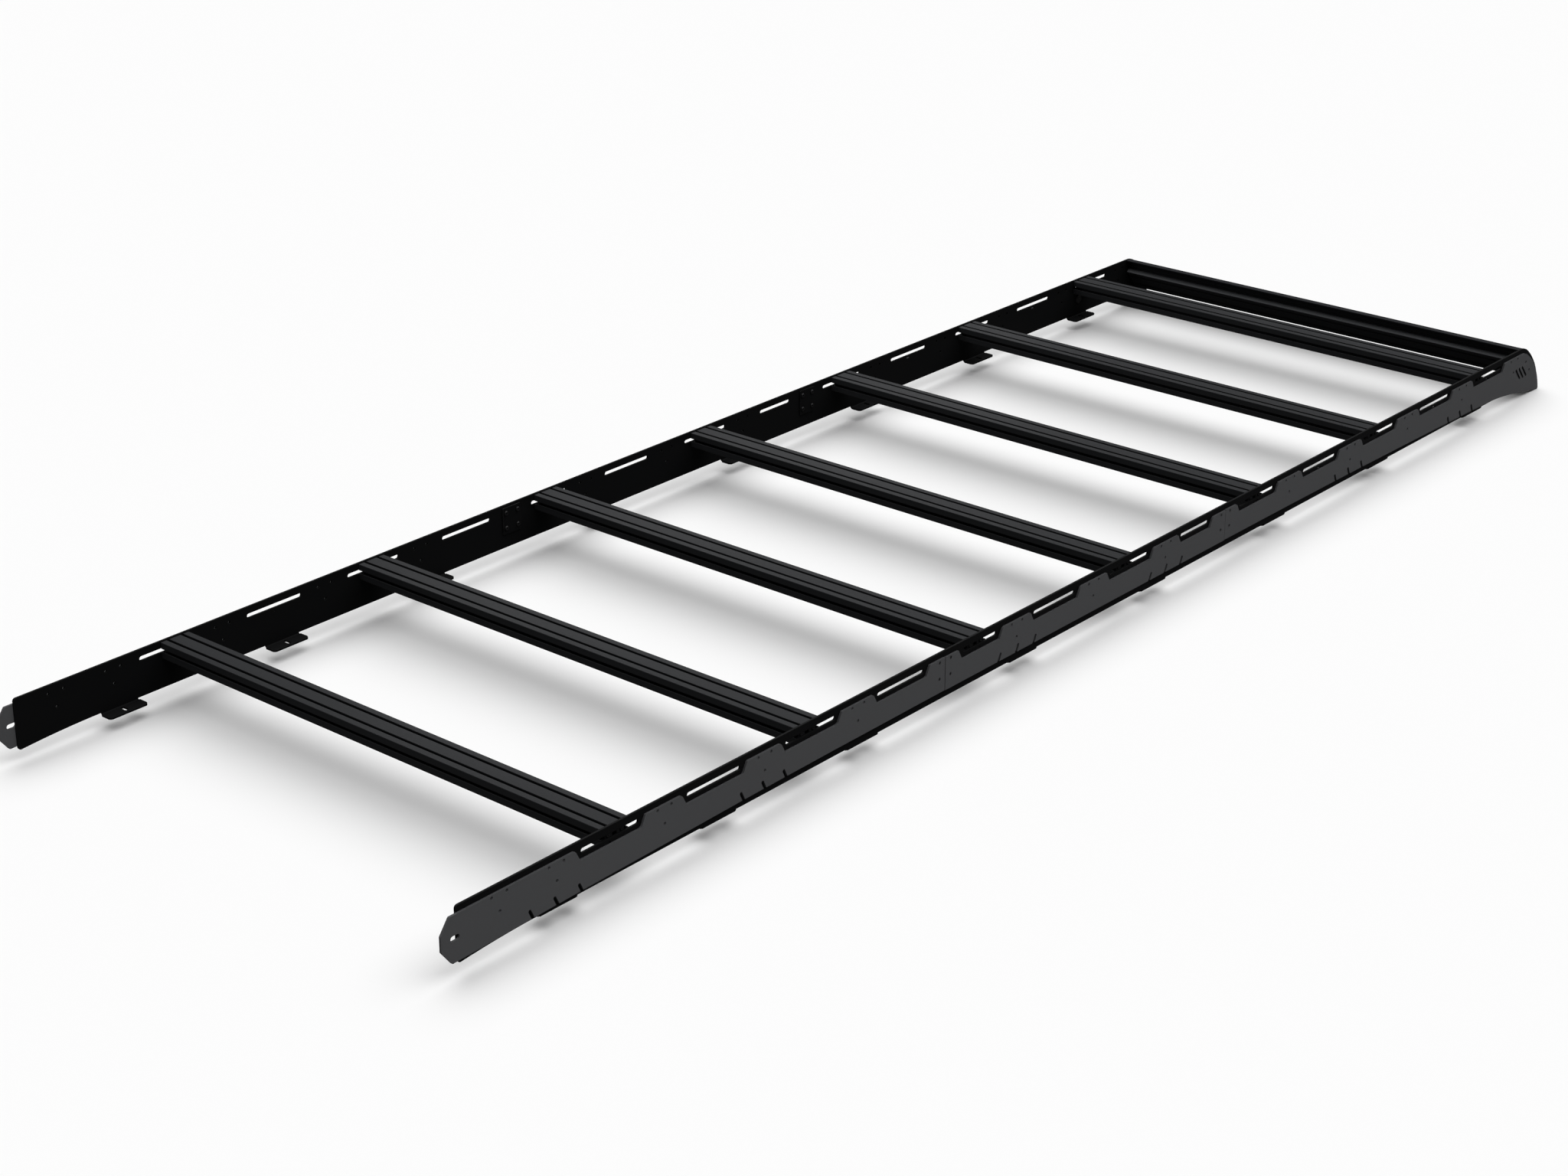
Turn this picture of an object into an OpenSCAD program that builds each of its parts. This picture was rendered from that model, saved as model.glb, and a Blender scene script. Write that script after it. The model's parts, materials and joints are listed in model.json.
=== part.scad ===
// Ladder rack for a truck or van roof. Two side rails, each an inner plate with feet and an outer cover,
// carry seven crossbars in long slots. An eighth bar of the same section ties the noses together and
// holds the curved wind fairing that closes the front.
// X runs across the rack, Y along it towards the nose, Z up. The origin is under the middle of the rack,
// level with the lowest point of the noses. Outlines are drawn as [Y, depth], where depth is measured
// down from the rails' top edge.

/* [Rails] */
// Clear width between the two inner side plates
clear_width = 1314.4; // [1200:0.1:1500]
// Height of the rails' top edge above the lowest point of the noses
rail_top = 145; // [145:0.5:150]
// Thickness of the side plates and of the covers
plate_t = 4.76; // [4:0.01:5]
// Depth of the inner plates' bottom edge
rail_depth = 110; // [108:0.5:112]
// Depth of the covers' top edge
cover_top = 13; // [11:0.1:15]
// Depth of the covers' bottom edge at mid-length
cover_bottom = 91.2; // [88:0.1:94]
// How far the middle covers sit below their neighbours
middle_drop = 0.9; // [0:0.1:1.5]

/* [Seams] */
// Where the rear pieces meet the middle pieces
rear_seam = -637.5; // [-640:0.5:-635]
// Where the middle pieces meet the front pieces
front_seam = 474.5; // [472:0.5:477]
// Gap between the covers at the rear seam
wide_gap = 2; // [0.4:0.1:3]
// Gap between all other neighbouring pieces
seam_gap = 0.8; // [0.4:0.1:2]
// Width of a splice plate along the rail
splice_w = 59; // [55:1:64]
// Thickness of a splice plate
splice_t = 3; // [2:0.1:4]

/* [Crossbar slots] */
// Distance between neighbouring slot centres
slot_pitch = 296.4; // [296:0.1:297]
// Depth of the slots' centre line
slot_depth = 22.05; // [21.5:0.05:22.5]
// Slot height
slot_h = 9.8; // [9.4:0.1:11]
// Length of a full slot
slot_len = 157.5; // [150:0.5:160]
// Length of the two short slots near the seams
short_slot_len = 120.5; // [115:0.5:122]

/* [Crossbars] */
// Number of crossbars
bars = 7; // [7]
// Distance from one crossbar to the next
bar_pitch = 568.9; // [568:0.1:570]
// Centre of the rearmost crossbar
first_bar = -1657.1; // [-1660:0.1:-1655]
// Side of one square cell of the crossbar section, which is two cells wide
cell = 38.1; // [38.1]
// Clearance between a crossbar's ends and the side plates
running_gap = 0.3; // [0.3:0.05:0.4]

/* [Feet] */
// Length of a foot along the rail
foot_len = 101.6; // [96:0.1:105]
// How far a foot reaches inwards from the side plate
foot_reach = 32; // [30:0.1:40]
// Depth of the feet's undersides
foot_depth = 117.5; // [117:0.5:120]
// Width of the mounting slot in a foot
foot_slot_w = 9.4; // [8:0.1:11]
// Length of the mounting slot in a foot, across the rack
foot_slot_len = 21.5; // [18:0.5:22]

/* [Nose] */
// Centre of the nose bar along the rail
nose_bar_y = 2041; // [2039:0.1:2043]
// Depth of the nose bar's centre
nose_bar_depth = 56; // [54:0.1:58]
// Angle between the nose bar's long side and the vertical
nose_bar_tilt = 40; // [38:0.5:42]
// Thickness of the wind fairing's sheet
fairing_t = 3; // [2:0.1:3]
// Depth of the fairing's bottom edge
fairing_bottom = 112; // [100:1:125]

/* [Hidden] */
$fn = 48;

// Planes of the plates, as distances from the rack's middle
inner_face = clear_width / 2;
plate_face = inner_face + plate_t;
cover_face = plate_face + plate_t;

// Ends of the plates along the rail
plate_rear = -2076;
tail_rear = -2119;

// Places along the rail, from rear to front
half_pitch = slot_pitch / 2;
rail_middle = (rear_seam + front_seam) / 2;
short_offset = 426.4;
REAR_SLOTS = [for (i = [3:-1:0]) rear_seam - half_pitch - i * slot_pitch];
MIDDLE_SLOTS = [rail_middle - half_pitch, rail_middle + half_pitch];
SHORT_SLOTS = [rail_middle - short_offset, rail_middle + short_offset];
FRONT_SLOTS = [for (i = [0:4]) front_seam + half_pitch + i * slot_pitch];
REAR_GROUPS = [for (i = [3:-1:0]) rear_seam - slot_pitch - i * slot_pitch];
MIDDLE_GROUPS = [for (i = [-1:1]) rail_middle + i * slot_pitch];
FRONT_GROUPS = [for (i = [1:5]) front_seam + i * slot_pitch];
END_GROUP = REAR_GROUPS[0] - half_pitch;
FEET = [-1814, -1361.5, -909.3, -340.5, 179.5, 716.3, 1229.3, 1742];
SEAMS = [rear_seam, front_seam];
BARS = [for (i = [0:bars - 1]) first_bar + i * bar_pitch];

// Accessory holes: two above one, in a triangle
small_hole_r = 3.5;
triple_half = 19.5;
triple_top = 19.3;
triple_low = 54.3;
// Splice screws: a square around each seam
splice_half = 19.4;
splice_upper = 19.9;
splice_lower = 58.8;
splice_top = 6;
splice_bottom = 75;

// Bent feet
bend_inner = 2;
bend_outer = bend_inner + plate_t;
relief = 2.8;
bend_len = foot_len - 2 * relief;
foot_corner = 8;

// Crossbar section
slot_mouth = 8.1;
slot_lip = 3;
slot_cavity = 20.2;
slot_shoulder = 5.2;
slot_floor = 11.4;
slot_floor_w = 9.2;
core_r = 4;
bar_edge = 1.2;

// Fasteners: 8 mm screws hold the bars, 7 mm screws the rest
bar_screw_r = 3.98;
screw_r = 3.45;
guide_r = 4.6;
guide_h = 2.6;
small_head_r = 6;
small_head_h = 3.4;
tail_clear = 0.4;
sunk_head_r = 7.5;
sunk_clear = 0.1;
key_r = 2.9;
key_depth = 2.2;

// Nose outline: centres as [Y, depth]
nose_radius = 217.7;
nose_centre = [1916.9, 189.7];
nose_blend = 64;
nose_turn = 56;
nose_lower = 125;
cover_nose_radius = 177.2;
cover_nose_centre = [1945.7, 175.1];
cover_blend = 60;
tip_r = 5;
tip_front = 2119;
belly_slope = 0.17;
belly_start = 536;
belly_radius = 58000;
chin_start = 1816;
rear_belly_start = -664;
rear_belly_radius = 52700;
flare_start = -1864;
flare_radius = 2440;

// Covers' window notches: each is wider at the top, and its slanted ends are given at window_depth
window_depth = 26;
window_sill = 37.4;
window_slant = 0.53;
WINDOWS = [
    [-1766.2, -1586.5], [-1469.8, -1290.2], [-1173.5, -994.2], [-876.5, -697.8],
    [-583.5, -435.8], [-319.5, -139.8], [-22.8, 156.7], [274, 411.3],
    [532, 709.5], [829, 1005.5], [1125.5, 1301.5], [1422.2, 1598.5], [1718.5, 1894.2]
];
REAR_NOTCHES = [REAR_GROUPS[0], REAR_GROUPS[2]];
MIDDLE_NOTCHES = [MIDDLE_GROUPS[0], MIDDLE_GROUPS[2]];
FRONT_NOTCHES = [FRONT_GROUPS[1], FRONT_GROUPS[3]];
notch_pitch = 65.6;
notch_w = 7.5;
notch_h = 19.5;
notch_slant = 0.46;
VENTS = [1985.7, 2004.1, 2022.9];
vent_depth = 68;
vent_h = 37;
vent_w = 6.9;
vent_slant = 0.875;

grommet_place = [1746.8, 63.6];
foot_slot_x = inner_face - 14.5;
under_slot_depth = 34.8;
under_slot_w = 3.9;
under_slot_len = 17;
tail_slot_y = -2084.3;
tail_slot_depth = 60;
tail_slot_w = 11;
tail_slot_len = 22.6;
NOSE_SCREWS = [for (s = [-1, 1])
    [nose_bar_y, nose_bar_depth] + s * cell / 2 * [sin(nose_bar_tilt), cos(nose_bar_tilt)]];
fairing_rear = 1996;
fairing_inset = 1;

// Fixings that hold the fairing off the nose bar, counted along the bar's own normal
FAIRING_FIXINGS = [for (i = [-2:2]) i * 290];
fixing_r = 3;
fixing_hole_r = 3.3;
spacer_r = 6.5;
spacer_len = 13.4;
fixing_seat = 16.8;
thread_clear = 0.02;
nut_w = 14;
nut_len = 16;
nut_t = 4.4;
hollow_w = 12.4;
hollow_h = 30;
bar_screw_hold = 25;
grommet_r = 13.5;
grommet_hole = 11;
grommet_neck = 10.9;

powder_grey = [0.25, 0.25, 0.26];
powder_black = [0.07, 0.07, 0.075];
bar_black = [0.1, 0.1, 0.105];
zinc_black = [0.16, 0.16, 0.17];
rubber_grey = [0.22, 0.22, 0.22];

SIDES = ["left", "right"];
SPANS = ["rear", "middle", "front"];

// A point on a circle given by its centre, with the angle counted from the top towards the nose
function on_arc(c, r, a) = [c[0] + r * sin(a), c[1] - r * cos(a)];
function arc(c, r, a0, a1, n) = [for (i = [0:n]) on_arc(c, r, a0 + (a1 - a0) * i / n)];

// Where a small circle touches a level line at depth d and a large circle from the inside
function blend_angle(c, r, small, d) = acos((c[1] - d - small) / (r - small));
function blend_centre(c, r, small, d) = [c[0] + (r - small) * sin(blend_angle(c, r, small, d)), d + small];

// A corner b between a and c, rounded to the radius b[2]
function flat2(p) = [p[0], p[1]];
function unit(v) = v / norm(v);
function corner(a, b, c, n = 6) = let (
    u = unit(flat2(a) - flat2(b)),
    w = unit(flat2(c) - flat2(b)),
    half = acos(u * w) / 2,
    reach = b[2] / tan(half),
    centre = flat2(b) + unit(u + w) * b[2] / sin(half),
    from = flat2(b) + u * reach - centre,
    to = flat2(b) + w * reach - centre,
    a0 = atan2(from[1], from[0]),
    turn = atan2(to[1], to[0]) - a0,
    sweep = turn > 180 ? turn - 360 : turn < -180 ? turn + 360 : turn
) b[2] == 0 ? [flat2(b)] : [for (i = [0:n]) centre + b[2] * [cos(a0 + sweep * i / n), sin(a0 + sweep * i / n)]];
function rounded(points) = let (n = len(points))
    [for (i = [0:n - 1]) each corner(points[(i + n - 1) % n], points[i], points[(i + 1) % n])];

// Depth of the nose's straight underside, and of the covers' curved bottom edge
function chin(y) = rail_top - tip_r + tip_r / cos(atan(belly_slope)) + belly_slope * (y - tip_front + tip_r);
function bow(y) = cover_bottom + pow(max(0, y - belly_start), 2) / (2 * belly_radius);
chin_slope = (chin_start - belly_start) / belly_radius;
chin_radius = 2 * (bow(chin_start) - chin(chin_start)) / pow(belly_slope - chin_slope, 2);
chin_end = chin_start + (belly_slope - chin_slope) * chin_radius;
function chin_curve(y) = bow(chin_start) + chin_slope * (y - chin_start) + pow(y - chin_start, 2) / (2 * chin_radius);
function rear_bow(y) = cover_bottom + pow(rear_belly_start - y, 2) / (2 * rear_belly_radius);
function steps(y0, y1, n) = [for (i = [0:n]) y0 + (y1 - y0) * i / n];

function cover_edge(y) = y < rear_belly_start ? rear_bow(y) : bow(y);

// Points that keep a sharp corner
function fixed(points) = [for (p = points) [p[0], p[1], 0]];
tip_centre = [tip_front - tip_r, rail_top - tip_r];
function tip() = concat(arc(tip_centre, tip_r, 90, 180, 6), [on_arc(tip_centre, tip_r, 180 + atan(belly_slope))]);

// The plates' nose, from the level top edge to the tip; inset moves it inwards
function nose_low() = nose_centre + (nose_radius - nose_lower) * [sin(nose_turn), -cos(nose_turn)];
function plate_nose(inset, last) = let (
    turn = blend_angle(nose_centre, nose_radius, nose_blend, 0)
) concat(
    arc(blend_centre(nose_centre, nose_radius, nose_blend, 0), nose_blend - inset, 0, turn, 10),
    arc(nose_centre, nose_radius - inset, turn + 1.5, nose_turn, 12),
    arc(nose_low(), nose_lower - inset, nose_turn + 2, last, 10)
);
function cover_nose() = let (
    turn = blend_angle(cover_nose_centre, cover_nose_radius, cover_blend, cover_top),
    last = acos((cover_nose_centre[1] - rail_top + tip_r + 2) / cover_nose_radius)
) concat(
    arc(blend_centre(cover_nose_centre, cover_nose_radius, cover_blend, cover_top), cover_blend, 0, turn, 10),
    arc(cover_nose_centre, cover_nose_radius, turn + 1.5, last, 16)
);

// The whole inner plate, seen from the right
function flare(y) = rail_depth + pow(flare_start - y, 2) / (2 * flare_radius);
function plate_outline() = rounded(concat(
    [[plate_rear, flare(plate_rear), 7], [plate_rear, 0, 7]],
    fixed(plate_nose(0, 86)),
    fixed(tip()),
    [for (y = steps(chin_end, chin_start, 10)) [y, max(rail_depth, chin_curve(y)), 0]],
    [for (y = steps(flare_start, plate_rear + 14, 8)) [y, flare(y), 0]]
));

// The covers' top edge with its window notches; the middle cover is the same sheet turned round
function window_outline(w, turned) = let (
    up = window_slant * (window_depth - cover_top),
    down = window_slant * (window_sill - window_depth)
) [
    [w[0] - up, cover_top, turned ? 3 : 10],
    [w[0] + down, window_sill, turned ? 8 : 1],
    [w[1] - down, window_sill, turned ? 1 : 8],
    [w[1] + up, cover_top, turned ? 10 : 3]
];
function top_edge() = [for (w = WINDOWS) each window_outline(w, w[0] > rear_seam && w[1] < front_seam)];

// The whole cover, seen from the right
function cover_outline() = rounded(concat(
    [[tail_rear, 77, 3], [tail_rear, 44.5, 3], [-2096, cover_top, 3]],
    top_edge(),
    fixed(cover_nose()),
    fixed(tip()),
    [for (y = steps(chin_end, chin_start, 10)) [y, chin_curve(y), 0]],
    [for (y = steps(chin_start - 80, belly_start, 12)) [y, bow(y), 0]],
    [for (y = steps(rear_belly_start, -2080, 12)) [y, rear_bow(y), 0]],
    [[-2093.5, 110.6, 5]]
));

// Turns an outline of [Y, depth] into a sheet whose inner side is at x
module sheet(x, t) {
    translate([x, 0, rail_top])
        rotate([90, 0, 90])
            linear_extrude(t)
                mirror([0, 1])
                    children();
}

module on_side(side) {
    if (side == "left")
        mirror([1, 0, 0]) children();
    else
        children();
}

// A bar with round ends, standing upright, w wide and h high over its ends
module round_bar(w, h) {
    square([w, h - w], center = true);
    for (s = [-1, 1])
        translate([0, s * (h - w) / 2]) circle(w / 2);
}

module slanted(y, d, w, h, slant) {
    translate([y, d])
        rotate(-atan(slant))
            round_bar(w, (h - w) / cos(atan(slant)) + w);
}

// One third of a rail outline, between two seams
module span_of(k, gap) {
    from = k == 0 ? tail_rear - 1 : SEAMS[k - 1] + (k == 1 ? gap : seam_gap) / 2;
    to = k == 2 ? tip_front + 1 : SEAMS[k] - (k == 0 ? gap : seam_gap) / 2;
    intersection() {
        children();
        translate([from, -1]) square([to - from, rail_top + 2]);
    }
}

// Holes that go through both plates of one third of a rail
module shared_holes(k) {
    for (y = [concat([END_GROUP], REAR_GROUPS), MIDDLE_GROUPS, FRONT_GROUPS][k]) {
        for (s = [-1, 1])
            translate([y + s * triple_half, triple_top]) circle(small_hole_r);
        translate([y, triple_low]) circle(small_hole_r);
    }
    for (seam = [[rear_seam], SEAMS, [front_seam]][k])
        splice_holes(seam);
}

module splice_holes(seam) {
    for (s = [-1, 1], d = [splice_upper, splice_lower])
        translate([seam + s * splice_half, d]) circle(small_hole_r);
}

// Slots that the crossbars' end screws slide in, with the small hole under each
module bar_slots(k) {
    for (y = [REAR_SLOTS, MIDDLE_SLOTS, FRONT_SLOTS][k])
        translate([y, slot_depth]) rotate(90) round_bar(slot_h, slot_len);
    if (k == 1)
        for (y = SHORT_SLOTS)
            translate([y, slot_depth]) rotate(90) round_bar(slot_h, short_slot_len);
    for (y = [REAR_SLOTS, concat(MIDDLE_SLOTS, SHORT_SLOTS), FRONT_SLOTS][k])
        translate([y, under_slot_depth])
            rotate(90)
                round_bar(under_slot_w, k == 2 ? under_slot_len : under_slot_w + 0.2);
}

function feet_of(k) = [for (y = FEET) if ((k == 0) == (y < rear_seam) && (k == 2) == (y > front_seam)) y];

// Inner plate with its bent feet
module side_plate(side, k) {
    color(powder_black) on_side(side) {
        difference() {
            sheet(inner_face, plate_t)
                difference() {
                    union() {
                        span_of(k, seam_gap) polygon(plate_outline());
                        for (y = feet_of(k))
                            translate([y - bend_len / 2, rail_depth - 1])
                                square([bend_len, foot_depth - bend_outer - rail_depth + 1]);
                    }
                    bar_slots(k);
                    shared_holes(k);
                    if (k == 2)
                        translate(grommet_place) circle(grommet_hole);
                }
            if (k == 2)
                at_nose_screws(plate_face) sunk_hole();
        }
        for (y = feet_of(k))
            translate([0, y, rail_top - foot_depth]) foot();
    }
}

// Places something over the two cores of the nose bar on one side; up points outwards
module at_nose_screws(x) {
    for (p = NOSE_SCREWS)
        translate([x, p[0], rail_top - p[1]])
            rotate([0, 90, 0])
                children();
}

// Countersunk hole for one of the nose bar's screws, seen as [radius, distance outwards]
module sunk_hole() {
    rotate_extrude()
        polygon([
            [0, -plate_t - 1], [core_r + sunk_clear, -plate_t - 1],
            [core_r + sunk_clear, bar_screw_r - sunk_head_r], [sunk_head_r + sunk_clear, 0],
            [sunk_head_r + sunk_clear, 1], [0, 1]
        ]);
}

// A foot in the middle of its length: quarter bend, then a level flange with a slot across the rack. The
// bend is shorter than the flange by a relief at each end
module foot() {
    bend_x = inner_face - bend_inner;
    translate([bend_x, bend_len / 2, bend_outer])
        rotate([90, 0, 0])
            linear_extrude(bend_len)
                intersection() {
                    difference() {
                        circle(bend_outer);
                        circle(bend_inner);
                    }
                    translate([0, -bend_outer]) square(bend_outer);
                }
    linear_extrude(plate_t)
        difference() {
            union() {
                translate([inner_face - foot_reach + foot_corner, -foot_len / 2])
                    square([foot_reach - foot_corner - bend_inner, foot_len]);
                translate([inner_face - foot_reach, foot_corner - foot_len / 2])
                    square([foot_corner, foot_len - 2 * foot_corner]);
                for (s = [-1, 1])
                    translate([inner_face - foot_reach + foot_corner, s * (foot_len / 2 - foot_corner)])
                        circle(foot_corner);
            }
            translate([foot_slot_x, 0]) rotate(90) round_bar(foot_slot_w, foot_slot_len);
        }
}

// Outer cover with windows over the slots, drain notches below and vents in the nose
module cover(side, k) {
    color(powder_grey) on_side(side)
        sheet(plate_face, plate_t)
            difference() {
                translate([0, k == 1 ? middle_drop : 0])
                    difference() {
                        span_of(k, wide_gap) polygon(cover_outline());
                        drain_notches([REAR_NOTCHES, MIDDLE_NOTCHES, FRONT_NOTCHES][k], k == 1 ? -1 : 1);
                    }
                shared_holes(k);
                if (k == 0)
                    translate([tail_slot_y, tail_slot_depth]) rotate(90) round_bar(tail_slot_w, tail_slot_len);
                if (k == 2) {
                    for (y = VENTS)
                        slanted(y, vent_depth, vent_w, vent_h, vent_slant);
                    for (p = NOSE_SCREWS)
                        translate(p) circle(small_hole_r);
                }
            }
}

module drain_notches(groups, lean) {
    for (y = groups, i = [-1:1])
        slanted(y + i * notch_pitch, cover_edge(y), notch_w, 2 * notch_h, lean * notch_slant);
}

module splice_plate(side, seam) {
    color(powder_black) on_side(side)
        sheet(inner_face - splice_t, splice_t)
            difference() {
                polygon(rounded([
                    [seam - splice_w / 2, splice_bottom, 3],
                    [seam - splice_w / 2, splice_top, 3],
                    [seam + splice_w / 2, splice_top, 3],
                    [seam + splice_w / 2, splice_bottom, 3]
                ]));
                splice_holes(seam);
            }
}

// A screw that stands on the XY plane: head above, shank below
module screw(r, h, shank, length) {
    difference() {
        union() {
            rotate_extrude()
                polygon([[0, 0], [r, 0], [r, 0.45 * h], [0.72 * r, h], [0, h]]);
            translate([0, 0, -length]) cylinder(r = shank, h = length);
        }
        translate([0, 0, 0.3 * h]) cylinder(r = 0.4 * r, h = h, $fn = 6);
    }
}

// Screws with their heads inside the rail and their tips in the cover
module splice_screws() {
    color(zinc_black)
        for (s = [-1, 1], seam = SEAMS, t = [-1, 1], d = [splice_upper, splice_lower])
            translate([s * (inner_face - splice_t), seam + t * splice_half, rail_top - d])
                rotate([0, -s * 90, 0])
                    screw(small_head_r, small_head_h, screw_r, splice_t + 2 * plate_t - tail_clear);
}

// The nose bar's own directions: X forwards and down along its long side, Y forwards and up, Z across
module in_nose_bar() {
    translate([0, nose_bar_y, rail_top - nose_bar_depth])
        rotate([90, 0, 90])
            rotate(nose_bar_tilt - 90)
                children();
}

module nose_bar() {
    color(bar_black)
        in_nose_bar()
            translate([0, 0, -clear_width / 2])
                linear_extrude(clear_width)
                    bar_section();
}

// Countersunk screws from the side plates into the nose bar's cores, under the covers
module nose_bar_screws() {
    length = plate_t + bar_screw_hold;
    color(zinc_black)
        for (side = SIDES)
            on_side(side)
                at_nose_screws(plate_face)
                    difference() {
                        rotate_extrude()
                            polygon([
                                [0, 0], [sunk_head_r, 0], [bar_screw_r, bar_screw_r - sunk_head_r],
                                [bar_screw_r, -length], [0, -length]
                            ]);
                        translate([0, 0, -key_depth]) cylinder(r = key_r, h = 2 * key_depth, $fn = 6);
                    }
}

// Curved sheet between the noses
module wind_fairing() {
    last = acos((nose_low()[1] - fairing_bottom) / (nose_lower - fairing_inset));
    under = fairing_inset + fairing_t;
    inside = plate_nose(under, last);
    color(powder_black)
        difference() {
            sheet(-inner_face, clear_width)
                polygon(concat(
                    [[fairing_rear, fairing_inset]],
                    plate_nose(fairing_inset, last),
                    [for (i = [len(inside) - 1:-1:0]) inside[i]],
                    [[fairing_rear, under]]
                ));
            at_fairing_fixings() cylinder(r = fixing_hole_r, h = 2 * fixing_seat);
        }
}

// Places something in the nose bar's lower front slot; up points out to the fairing
module at_fairing_fixings() {
    in_nose_bar()
        for (x = FAIRING_FIXINGS)
            translate([cell / 2, cell / 2, x])
                rotate([-90, 0, 0])
                    children();
}

module fairing_spacers() {
    color(zinc_black)
        at_fairing_fixings()
            difference() {
                cylinder(r = spacer_r, h = spacer_len);
                translate([0, 0, -1]) cylinder(r = fixing_hole_r, h = spacer_len + 2);
            }
}

module fairing_nuts() {
    color(zinc_black)
        at_fairing_fixings()
            difference() {
                translate([-nut_w / 2, -nut_len / 2, -slot_lip - nut_t]) cube([nut_w, nut_len, nut_t]);
                translate([0, 0, -slot_lip - nut_t - 1]) cylinder(r = fixing_r + thread_clear, h = nut_t + 2);
            }
}

module fairing_screws() {
    color(zinc_black)
        at_fairing_fixings()
            translate([0, 0, fixing_seat])
                screw(small_head_r, small_head_h, fixing_r, fixing_seat + slot_lip + nut_t);
}

// Closed rubber plug in the wiring hole of a side plate
module wire_grommet(side) {
    color(rubber_grey) on_side(side)
        translate([inner_face, grommet_place[0], rail_top - grommet_place[1]])
            rotate([0, -90, 0]) {
                rotate_extrude()
                    polygon([
                        [0, 0], [grommet_r, 0], [grommet_r, 1.2], [grommet_r - 1.2, 2.2],
                        [grommet_hole - 1, 2.2], [grommet_hole - 1.6, 1.4], [0, 1.4]
                    ]);
                translate([0, 0, -plate_t]) cylinder(r = grommet_neck, h = plate_t);
            }
}

// Crossbar section: two square cells with a T-slot in every outer face
module t_slot() {
    half = slot_mouth / 2;
    cavity = slot_cavity / 2;
    floor_half = slot_floor_w / 2;
    polygon([
        [-half, 1], [half, 1], [half, -slot_lip], [cavity, -slot_lip], [cavity, -slot_shoulder],
        [floor_half, -slot_floor], [-floor_half, -slot_floor], [-cavity, -slot_shoulder],
        [-cavity, -slot_lip], [-half, -slot_lip]
    ]);
}

module bar_section() {
    difference() {
        polygon(rounded([
            [-cell, -cell / 2, bar_edge], [cell, -cell / 2, bar_edge],
            [cell, cell / 2, bar_edge], [-cell, cell / 2, bar_edge]
        ]));
        for (s = [-1, 1]) {
            for (t = [-1, 1])
                translate([s * cell / 2, t * cell / 2]) rotate(t > 0 ? 0 : 180) t_slot();
            translate([s * cell, 0]) rotate(-90 * s) t_slot();
            translate([s * cell / 2, 0]) circle(core_r);
        }
        polygon(rounded([
            [-hollow_w / 2, -hollow_h / 2, 2], [hollow_w / 2, -hollow_h / 2, 2],
            [hollow_w / 2, hollow_h / 2, 2], [-hollow_w / 2, hollow_h / 2, 2]
        ]));
    }
}

module crossbar(k) {
    length = clear_width - 2 * running_gap;
    color(bar_black)
        translate([-length / 2, BARS[k], rail_top - slot_depth])
            rotate([90, 0, 90])
                linear_extrude(length)
                    bar_section();
}

// Places something on both end faces of a crossbar, over its two cores; up points outwards
module at_bar_ends(k, x) {
    for (s = [-1, 1], t = [-1, 1])
        translate([s * x, BARS[k] + t * cell / 2, rail_top - slot_depth])
            rotate([0, s * 90, 0])
                children();
}

// Screws in the crossbar's cores; their round heads stay inside the side plates' slots and guide the bar
module crossbar_screws(k) {
    color(zinc_black)
        at_bar_ends(k, inner_face - running_gap)
            screw(guide_r, guide_h, bar_screw_r, bar_screw_hold);
}

for (s = SIDES, k = [0:2])
    side_plate(s, k);
for (s = SIDES, k = [0:2])
    cover(s, k);
for (s = SIDES, k = [0:1])
    splice_plate(s, SEAMS[k]);
for (s = SIDES)
    wire_grommet(s);
splice_screws();
nose_bar();
nose_bar_screws();
wind_fairing();
fairing_spacers();
fairing_nuts();
fairing_screws();
for (k = [1:bars]) {
    crossbar(k - 1);
    crossbar_screws(k - 1);
}
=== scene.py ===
# Ladder rack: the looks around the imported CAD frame.
import json
import math

import bmesh
import bpy
from mathutils import Matrix, Vector


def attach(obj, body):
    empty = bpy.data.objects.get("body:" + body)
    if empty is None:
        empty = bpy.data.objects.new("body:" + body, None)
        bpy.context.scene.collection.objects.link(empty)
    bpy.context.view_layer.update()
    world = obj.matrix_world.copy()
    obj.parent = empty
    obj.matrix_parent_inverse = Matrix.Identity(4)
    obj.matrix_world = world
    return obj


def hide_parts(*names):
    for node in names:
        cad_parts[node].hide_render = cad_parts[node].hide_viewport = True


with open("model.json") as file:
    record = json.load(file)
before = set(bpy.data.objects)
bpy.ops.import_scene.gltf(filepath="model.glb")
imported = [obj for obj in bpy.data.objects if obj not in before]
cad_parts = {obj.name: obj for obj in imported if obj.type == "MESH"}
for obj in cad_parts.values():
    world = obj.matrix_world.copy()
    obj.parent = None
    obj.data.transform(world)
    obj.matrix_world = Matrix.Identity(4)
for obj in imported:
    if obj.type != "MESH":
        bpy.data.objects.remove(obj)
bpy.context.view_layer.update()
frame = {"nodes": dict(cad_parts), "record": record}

MM = 0.001


# ---------------------------------------------------------------- camera
def make_camera():
    """The photograph's viewpoint: from behind and to the right of the rack, looking down at it."""
    data = bpy.data.cameras.new("camera")
    data.sensor_width = 36
    data.lens = 66.56
    data.shift_x = -0.0003
    data.shift_y = -0.0433
    data.clip_end = 200
    camera = bpy.data.objects.new("camera", data)
    bpy.context.scene.collection.objects.link(camera)
    right = Vector((0.76124, 0.64847, 0.00027)).normalized()
    back = right.cross(Vector((-0.24425, 0.28634, 0.92647))).normalized()
    up = back.cross(right).normalized()
    turn = Matrix((right, up, back)).transposed().to_4x4()
    camera.matrix_world = Matrix.Translation((4.0679, -5.164, 2.745)) @ turn
    bpy.context.scene.camera = camera


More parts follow.
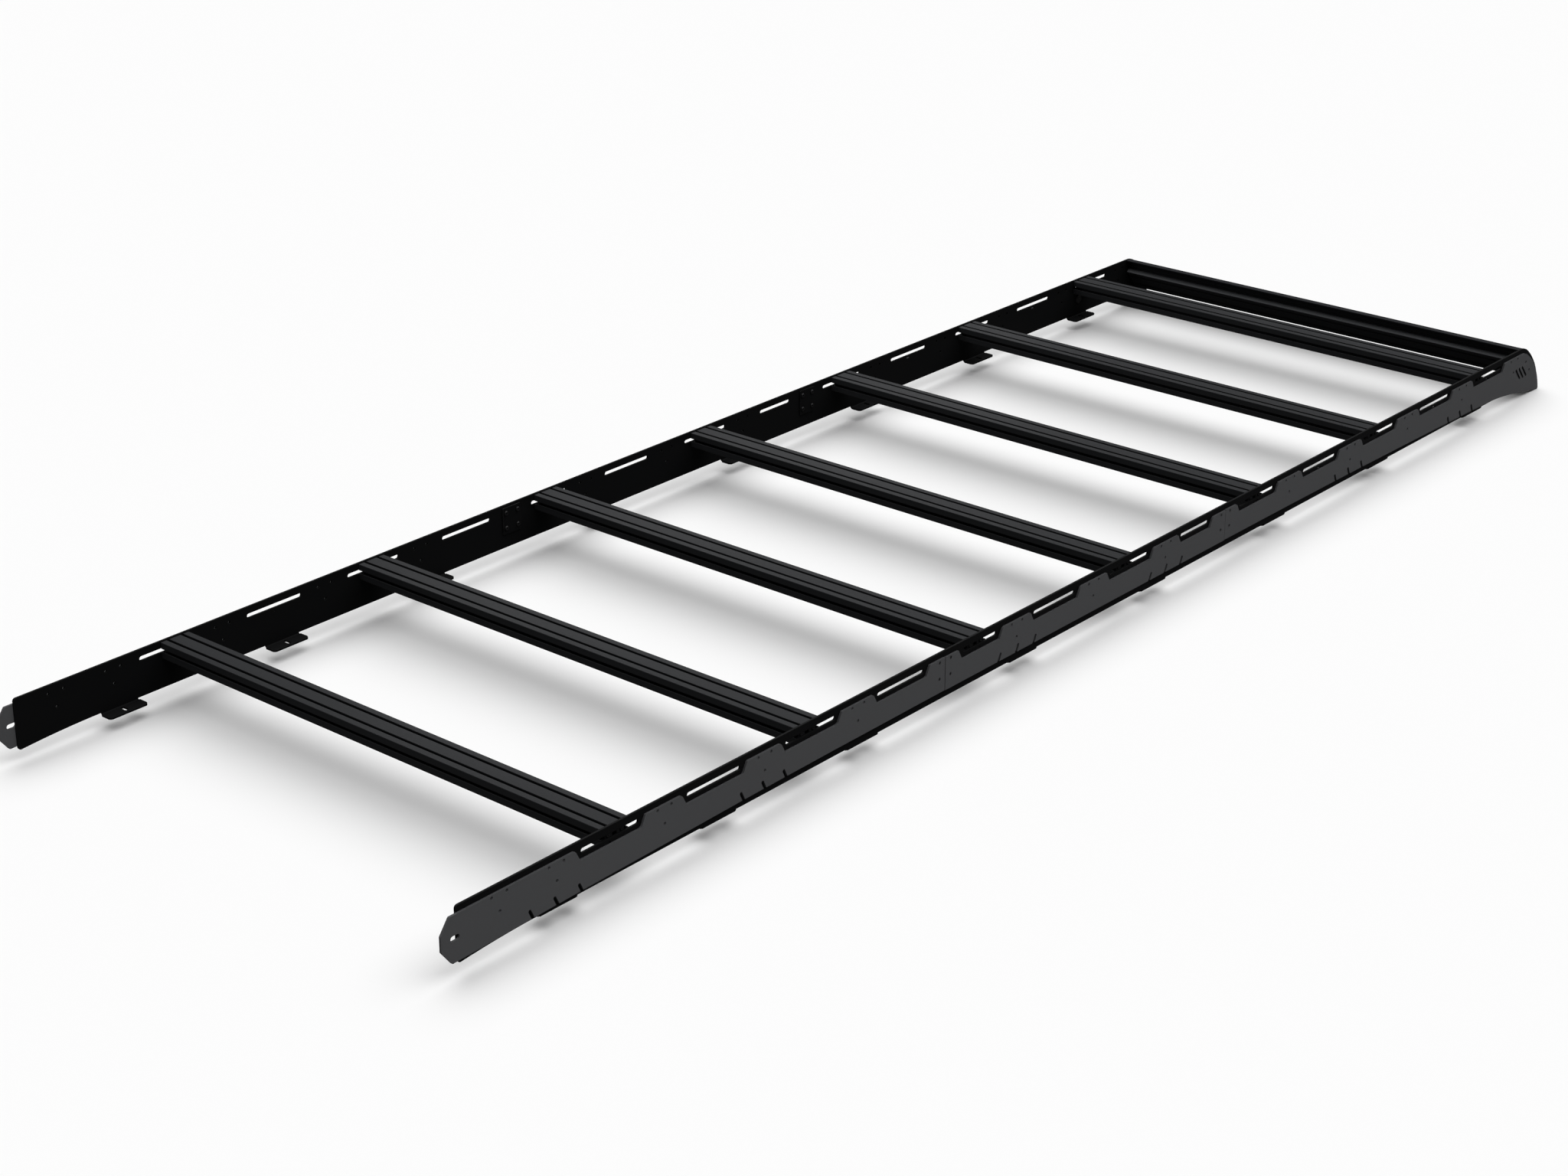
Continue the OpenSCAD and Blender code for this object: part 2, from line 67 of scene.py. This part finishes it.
# ---------------------------------------------------------------- shader nodes
def node(tree, kind, **values):
    made = tree.nodes.new(kind)
    for key, value in values.items():
        setattr(made, key, value)
    return made


def noise(tree, coords, scale, detail, stretch=(1, 1, 1)):
    """A noise texture over the piece's own coordinates, with about scale features per metre."""
    mapping = node(tree, "ShaderNodeMapping")
    mapping.inputs["Scale"].default_value = stretch
    tree.links.new(coords, mapping.inputs["Vector"])
    texture = node(tree, "ShaderNodeTexNoise")
    texture.inputs["Scale"].default_value = scale
    texture.inputs["Detail"].default_value = detail
    tree.links.new(mapping.outputs["Vector"], texture.inputs["Vector"])
    return texture.outputs["Fac"]


def ramp(tree, fac, low=0.3, high=0.7, start=0.0, end=1.0):
    """Maps fac from low..high to start..end. Noise fills about 0.3 to 0.7."""
    made = node(tree, "ShaderNodeMapRange")
    made.inputs["From Min"].default_value = low
    made.inputs["From Max"].default_value = high
    made.inputs["To Min"].default_value = start
    made.inputs["To Max"].default_value = end
    tree.links.new(fac, made.inputs["Value"])
    return made.outputs["Result"]


def mix_colour(tree, fac, a, b):
    """Blends from a to b as fac goes from 0 to 1. Each is a colour or another node's output."""
    made = node(tree, "ShaderNodeMix", data_type="RGBA")
    for socket, value in ((made.inputs[6], a), (made.inputs[7], b)):
        if isinstance(value, tuple):
            socket.default_value = (*value, 1)
        else:
            tree.links.new(value, socket)
    tree.links.new(fac, made.inputs[0])
    return made.outputs[2]


def multiply(tree, a, b):
    made = node(tree, "ShaderNodeMath", operation="MULTIPLY")
    tree.links.new(a, made.inputs[0])
    tree.links.new(b, made.inputs[1])
    return made.outputs[0]


def edge_wear_and_highlight(tree, coords, scale, low, high, least):
    """Patchy wear and a painted highlight on the rounded edges only, from least to 1, read from the
    mesh's edge attribute.
    """
    edge = node(tree, "ShaderNodeAttribute", attribute_name="edge").outputs["Fac"]
    patches = ramp(tree, noise(tree, coords, scale, 5), low, high, start=least)
    return multiply(tree, edge, patches)


def bump(tree, shader, layers):
    """Chains bump layers, each (height, distance in metres, strength)."""
    last = None
    for height, distance, strength in layers:
        made = node(tree, "ShaderNodeBump")
        made.inputs["Distance"].default_value = distance
        made.inputs["Strength"].default_value = strength
        tree.links.new(height, made.inputs["Height"])
        if last is not None:
            tree.links.new(last, made.inputs["Normal"])
        last = made.outputs["Normal"]
    tree.links.new(last, shader.inputs["Normal"])


def shade(colour, factor):
    return tuple(channel * factor for channel in colour)


# ---------------------------------------------------------------- materials
def new_material(name):
    material = bpy.data.materials.new(name)
    material.use_nodes = True
    tree = material.node_tree
    shader = tree.nodes["Principled BSDF"]
    coords = node(tree, "ShaderNodeTexCoord").outputs["Object"]
    return material, tree, shader, coords


def powder_coat(name, base, worn_and_highlit, roughness, gloss):
    """Baked powder paint: orange peel, fine grain, barely uneven colour, lighter on rounded edges (wear
    plus a painted highlight).
    """
    material, tree, shader, coords = new_material(name)
    mottle = noise(tree, coords, 3.5, 2)
    grain = noise(tree, coords, 1400, 2)
    peel = noise(tree, coords, 420, 2)
    wear_and_highlight = edge_wear_and_highlight(tree, coords, 45, 0.42, 0.68, least=0.3)
    body = mix_colour(tree, ramp(tree, mottle), shade(base, 0.98), shade(base, 1.02))
    body = mix_colour(tree, ramp(tree, grain, 0.35, 0.65), body, shade(base, 1.1))
    # Rounded edges blend towards the worn colour: partly wear, partly a painted highlight.
    tree.links.new(mix_colour(tree, wear_and_highlight, body, worn_and_highlit), shader.inputs["Base Color"])
    rough = ramp(tree, grain, start=roughness - 0.04, end=roughness + 0.05)
    tree.links.new(rough, shader.inputs["Roughness"])
    shader.inputs["Specular IOR Level"].default_value = gloss
    bump(tree, shader, [(peel, 0.1 * MM, 0.4), (grain, 0.04 * MM, 0.5)])
    return material


def anodised(name, base, worn_and_highlit, roughness, gloss):
    """Black anodised extrusion: die lines along its length, faint streaks, brighter edges that are
    rubbed and carry a painted highlight.
    """
    material, tree, shader, coords = new_material(name)
    lines = noise(tree, coords, 900, 2, stretch=(0.004, 1, 1))
    streaks = noise(tree, coords, 60, 4, stretch=(0.03, 1, 1))
    wear_and_highlight = edge_wear_and_highlight(tree, coords, 60, 0.4, 0.7, least=0.2)
    body = mix_colour(tree, ramp(tree, streaks), shade(base, 0.95), shade(base, 1.05))
    # Rounded edges blend towards the worn colour: partly wear, partly a painted highlight.
    tree.links.new(mix_colour(tree, wear_and_highlight, body, worn_and_highlit), shader.inputs["Base Color"])
    rough = ramp(tree, lines, start=roughness - 0.05, end=roughness + 0.06)
    tree.links.new(rough, shader.inputs["Roughness"])
    shader.inputs["Specular IOR Level"].default_value = gloss
    bump(tree, shader, [(lines, 0.03 * MM, 0.5)])
    return material


def dark_zinc(name, dark, light):
    """Black zinc on steel fasteners: slightly uneven and a little metallic."""
    material, tree, shader, coords = new_material(name)
    cloud = noise(tree, coords, 260, 4)
    tree.links.new(mix_colour(tree, ramp(tree, cloud), dark, light), shader.inputs["Base Color"])
    tree.links.new(ramp(tree, cloud, start=0.34, end=0.5), shader.inputs["Roughness"])
    shader.inputs["Metallic"].default_value = 0.6
    bump(tree, shader, [(noise(tree, coords, 1800, 2), 0.03 * MM, 0.4)])
    return material


def rubber(name, dark, light):
    """Matt moulded rubber with a fine grain."""
    material, tree, shader, coords = new_material(name)
    cloud = noise(tree, coords, 180, 3)
    tree.links.new(mix_colour(tree, ramp(tree, cloud), dark, light), shader.inputs["Base Color"])
    tree.links.new(ramp(tree, cloud, start=0.55, end=0.68), shader.inputs["Roughness"])
    bump(tree, shader, [(noise(tree, coords, 1500, 2), 0.04 * MM, 0.5)])
    return material


# For each material slot: how it is made, its colours and gloss, and how far its sharp edges are rounded
# The worn colour lightens every rounded edge: partly wear, partly a painted highlight.
FINISHES = {
    "plate_powder_coat": (
        powder_coat,
        dict(base=(0.0084, 0.0085, 0.0089), worn_and_highlit=(0.07, 0.07, 0.073), roughness=0.5, gloss=0.05),
        0.7 * MM,
    ),
    "cover_powder_coat": (
        powder_coat,
        dict(base=(0.0615, 0.0621, 0.0646), worn_and_highlit=(0.13, 0.13, 0.134), roughness=0.5, gloss=0.1),
        0.7 * MM,
    ),
    "fairing_powder_coat": (
        powder_coat,
        dict(base=(0.0155, 0.0162, 0.0185), worn_and_highlit=(0.04, 0.041, 0.045), roughness=0.4, gloss=0.05),
        0.5 * MM,
    ),
    "crossbar_anodised": (
        anodised,
        dict(base=(0.0272, 0.0281, 0.03), worn_and_highlit=(0.06, 0.06, 0.062), roughness=0.4, gloss=0.05),
        0.35 * MM,
    ),
    "black_zinc": (
        dark_zinc,
        dict(dark=(0.016, 0.016, 0.018), light=(0.03, 0.029, 0.03)),
        0.3 * MM,
    ),
    "grommet_rubber": (
        rubber,
        dict(dark=(0.022, 0.022, 0.022), light=(0.028, 0.028, 0.028)),
        0.3 * MM,
    ),
}
MATERIALS = {slot: make(slot, **look) for slot, (make, look, _) in FINISHES.items()}
ROUNDING = {slot: width for slot, (_, _, width) in FINISHES.items()}


# ---------------------------------------------------------------- pieces
SLOTS = {row["node"]: row["material_slot"] for row in frame["record"]["subparts"]}
BODIES = frame["record"]["behaviour"]["bodies"]
NODE_BODY = {name: body for body, members in BODIES.items() for name in members}
WELD = 0.002 * MM
FLAT = math.radians(0.4)
ROUNDED_FROM = math.radians(28)
CREASED_FROM = math.radians(50)


def welded_copy(source, name):
    """The CAD node's mesh with its triangles joined into flat faces, as a new object."""
    mesh = source.data.copy()
    mesh.name = name
    work = bmesh.new()
    work.from_mesh(mesh)
    bmesh.ops.remove_doubles(work, verts=work.verts, dist=WELD)
    bmesh.ops.dissolve_limit(work, angle_limit=FLAT, verts=work.verts, edges=work.edges,
                             delimit={"NORMAL"})
    work.to_mesh(mesh)
    work.free()
    piece = bpy.data.objects.new(name, mesh)
    bpy.context.scene.collection.objects.link(piece)
    return piece


def edges_turning(work, angle):
    """The edges where two faces meet at more than this angle."""
    return [e for e in work.edges if len(e.link_faces) == 2 and e.calc_face_angle(0) > angle]


def round_edges(piece, width):
    """Rounds every sharp edge, and marks the rounded strips in the attribute that the paint reads."""
    mesh = piece.data
    work = bmesh.new()
    work.from_mesh(mesh)
    rounded = work.faces.layers.float.new("edge")
    result = bmesh.ops.bevel(work, geom=edges_turning(work, ROUNDED_FROM), offset=width,
                             offset_type="OFFSET", segments=2, profile=0.5, affect="EDGES",
                             clamp_overlap=True)
    for face in result["faces"]:
        face[rounded] = 1.0
    bmesh.ops.remove_doubles(work, verts=work.verts, dist=WELD / 2)
    bmesh.ops.recalc_face_normals(work, faces=work.faces)
    for face in work.faces:
        face.smooth = True
    for edge in edges_turning(work, CREASED_FROM):
        edge.smooth = False
    work.to_mesh(mesh)
    work.free()


def weighted_normals(piece):
    """Keeps the broad faces looking flat next to their rounded edges."""
    modifier = piece.modifiers.new("normals", "WEIGHTED_NORMAL")
    modifier.keep_sharp = True
    modifier.weight = 60
    graph = bpy.context.evaluated_depsgraph_get()
    mesh = bpy.data.meshes.new_from_object(piece.evaluated_get(graph))
    piece.modifiers.clear()
    piece.data = mesh


def finished(name, source):
    """A CAD node's finished piece: its edges rounded, its paint on, riding where the node rides."""
    slot = SLOTS[name]
    piece = welded_copy(source, name + ".finished")
    round_edges(piece, ROUNDING[slot])
    weighted_normals(piece)
    piece.data.materials.clear()
    piece.data.materials.append(MATERIALS[slot])
    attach(piece, NODE_BODY[name])
    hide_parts(name)
    return piece


pieces = {name: finished(name, source) for name, source in sorted(frame["nodes"].items())}


def with_finish(*slots):
    return [piece for name, piece in pieces.items() if SLOTS[name] in slots]


# ---------------------------------------------------------------- stage
def grey(level):
    return (level, level, level)


def camera_ray(tree):
    """1 where the camera looks straight at a surface, 0 for light that bounces off it."""
    return node(tree, "ShaderNodeLightPath").outputs["Is Camera Ray"]


def make_floor():
    """A wide pale floor. Only the camera sees it at full brightness, so that it doesn't light the
    rack from below."""
    bpy.ops.mesh.primitive_plane_add(size=120, location=(0, 0, 0))
    floor = bpy.context.object
    floor.name = "floor"
    material, tree, shader, _ = new_material("floor_paper")
    shader.inputs["Roughness"].default_value = 1.0
    shader.inputs["Specular IOR Level"].default_value = 0.0
    colour = mix_colour(tree, camera_ray(tree), grey(0.12), grey(0.93))
    tree.links.new(colour, shader.inputs["Base Color"])
    floor.data.materials.append(material)


def make_world():
    """A pale backdrop that adds only a little light of its own."""
    world = bpy.data.worlds.new("world")
    bpy.context.scene.world = world
    world.use_nodes = True
    tree = world.node_tree
    colour = mix_colour(tree, camera_ray(tree), grey(0.03), grey(0.965))
    tree.links.new(colour, tree.nodes["Background"].inputs["Color"])


def add_light(name, data, location, direction, lit):
    """Places a light that shines from a direction, on everything or only on the pieces in lit."""
    light = bpy.data.objects.new(name, data)
    light.location = location
    light.rotation_euler = Vector(direction).to_track_quat("Z", "Y").to_euler()
    bpy.context.scene.collection.objects.link(light)
    if lit:
        receivers = bpy.data.collections.new(name + "_receivers")
        for piece in lit:
            receivers.objects.link(piece)
        light.light_linking.receiver_collection = receivers


def make_sun(name, direction, strength, angle, lit=None):
    """A far light; angle is its apparent size in degrees, so a large one is soft."""
    data = bpy.data.lights.new(name, "SUN")
    data.energy = strength
    data.angle = math.radians(angle)
    add_light(name, data, (0, 0, 3), direction, lit)


def make_strip(name, location, direction, length, width, power, lit):
    """A long light box whose length runs along the rack."""
    data = bpy.data.lights.new(name, "AREA")
    data.shape = "RECTANGLE"
    data.size = length
    data.size_y = width
    data.energy = power
    add_light(name, data, location, direction, lit)


def make_lights():
    """Soft light from above, fill on both covers and the nose bar, and a strip that the bars reflect."""
    covers = with_finish("cover_powder_coat")
    nose_bar = [pieces["nose_bar"]]
    make_sun("overhead", (0, 0.24, 1), 3.3, 100)
    make_sun("side_right", (1, -0.1, 0.2), 1.6, 50, covers)
    make_sun("side_left", (-1, -0.1, 0.2), 1.6, 50, covers)
    make_sun("nose_high", (0, -0.35, 1), 3.4, 30, nose_bar)
    make_sun("nose_low", (0, -1, 0.1), 0.22, 40, nose_bar)
    make_strip("strip", (-1.25, 0.9, 0.75), (-1, 0, 0.6), length=3.0, width=0.3, power=3.5,
               lit=with_finish("crossbar_anodised", "fairing_powder_coat"))


make_camera()
make_floor()
make_world()
make_lights()

scene = bpy.context.scene
scene.view_settings.view_transform = "Standard"
scene.view_settings.look = "None"
